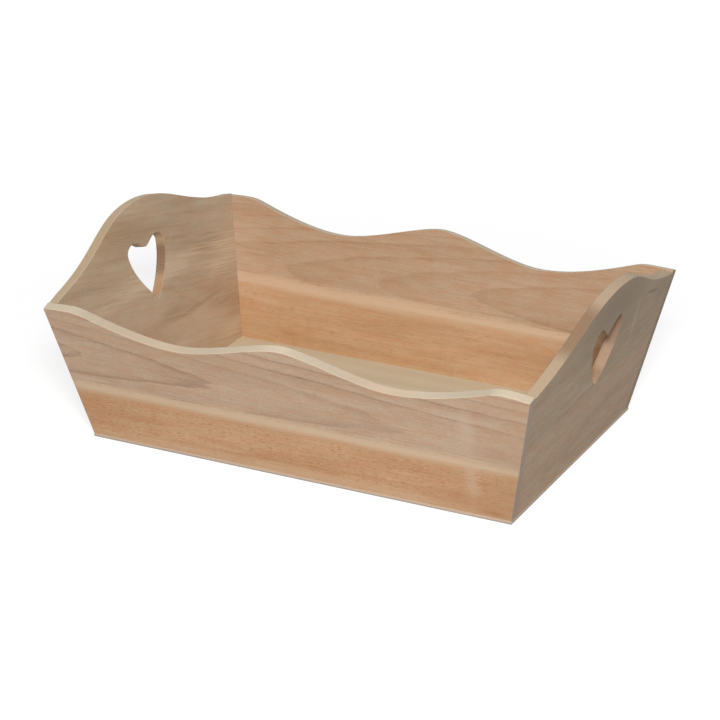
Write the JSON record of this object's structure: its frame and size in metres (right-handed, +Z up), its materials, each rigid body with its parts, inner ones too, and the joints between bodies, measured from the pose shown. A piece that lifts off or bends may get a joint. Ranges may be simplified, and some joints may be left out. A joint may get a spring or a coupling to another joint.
{
  "type": "wooden tray",
  "caption": "Rectangular wooden serving tray with walls that lean outwards, waved long rims, and raised rounded ends with a heart-shaped finger hole as the carrying handle.",
  "frame": {"origin": "middle of the base panel's underside, on the surface that the tray stands on", "axes": "+X along the tray's length towards the right end wall, +Y across its width towards the back wall, +Z up"},
  "size_m": [0.417, 0.293, 0.1544],
  "materials": {
    "wall_upper": "planed and fine-sanded beech, greyish pink brown, unvarnished",
    "wall_lower": "planed and fine-sanded beech, warm orange brown, unvarnished",
    "base": "sanded plywood, pale beige, unvarnished",
    "nail": "bright drawn steel wire"
  },
  "bodies": {
    "root": {"front_upper_stave": "wall_upper", "front_lower_stave": "wall_lower", "back_upper_stave": "wall_upper", "back_lower_stave": "wall_lower", "left_upper_stave": "wall_upper", "left_lower_stave": "wall_lower", "right_upper_stave": "wall_upper", "right_lower_stave": "wall_lower", "base_panel": "base", "front_base_pin_1": "nail", "front_base_pin_2": "nail", "front_base_pin_3": "nail", "front_base_pin_4": "nail", "back_base_pin_1": "nail", "back_base_pin_2": "nail", "back_base_pin_3": "nail", "back_base_pin_4": "nail", "left_base_pin_1": "nail", "left_base_pin_2": "nail", "left_base_pin_3": "nail", "right_base_pin_1": "nail", "right_base_pin_2": "nail", "right_base_pin_3": "nail", "front_left_brad_1": "nail", "front_left_brad_2": "nail", "front_left_brad_3": "nail", "back_left_brad_1": "nail", "back_left_brad_2": "nail", "back_left_brad_3": "nail", "front_right_brad_1": "nail", "front_right_brad_2": "nail", "front_right_brad_3": "nail", "back_right_brad_1": "nail", "back_right_brad_2": "nail", "back_right_brad_3": "nail"}
  },
  "joints": []
}
